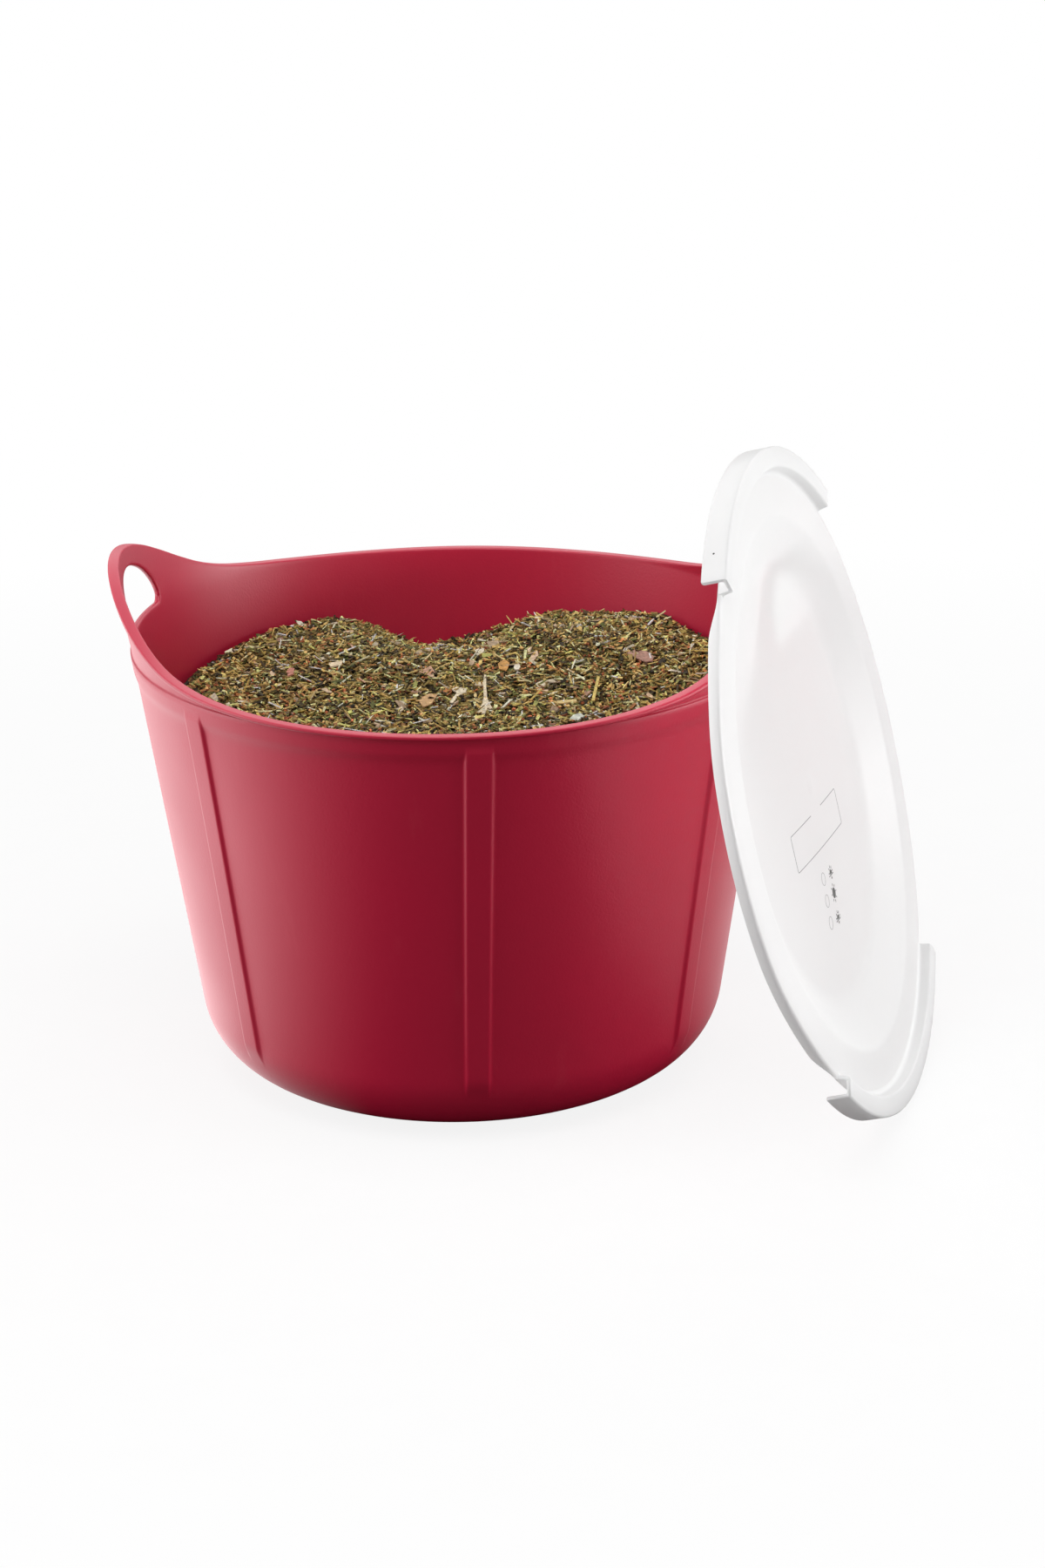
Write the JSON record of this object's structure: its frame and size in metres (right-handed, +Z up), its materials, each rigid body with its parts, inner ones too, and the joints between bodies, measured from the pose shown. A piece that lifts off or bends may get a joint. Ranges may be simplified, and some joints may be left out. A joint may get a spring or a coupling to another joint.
{
  "type": "flexible feed bowl",
  "caption": "Flexible round feed bowl with raised finger-hole handles, a loose lid leaning against its side, and feed mix inside.",
  "frame": {"origin": "middle of the bowl's flat base, on the floor", "axes": "+Z up, -Y towards the viewer of the picture, +X towards the side that the lid leans on; the handle line is turned 3.5 degrees from X"},
  "size_m": [0.3849, 0.3483, 0.2966],
  "materials": {
    "bowl_plastic": "satin flexible crimson plastic",
    "lid_plastic": "satin white plastic",
    "feed": "dry chopped straw and flakes"
  },
  "bodies": {
    "bowl": {"bowl": "bowl_plastic", "feed_mix": "feed"},
    "lid": {"lid": "lid_plastic"}
  },
  "joints": [
    {"name": "lid_lift", "type": "slide", "parent": "bowl", "child": "lid", "axis": [0, 0, 1], "range_m": [0, 0.25]}
  ]
}
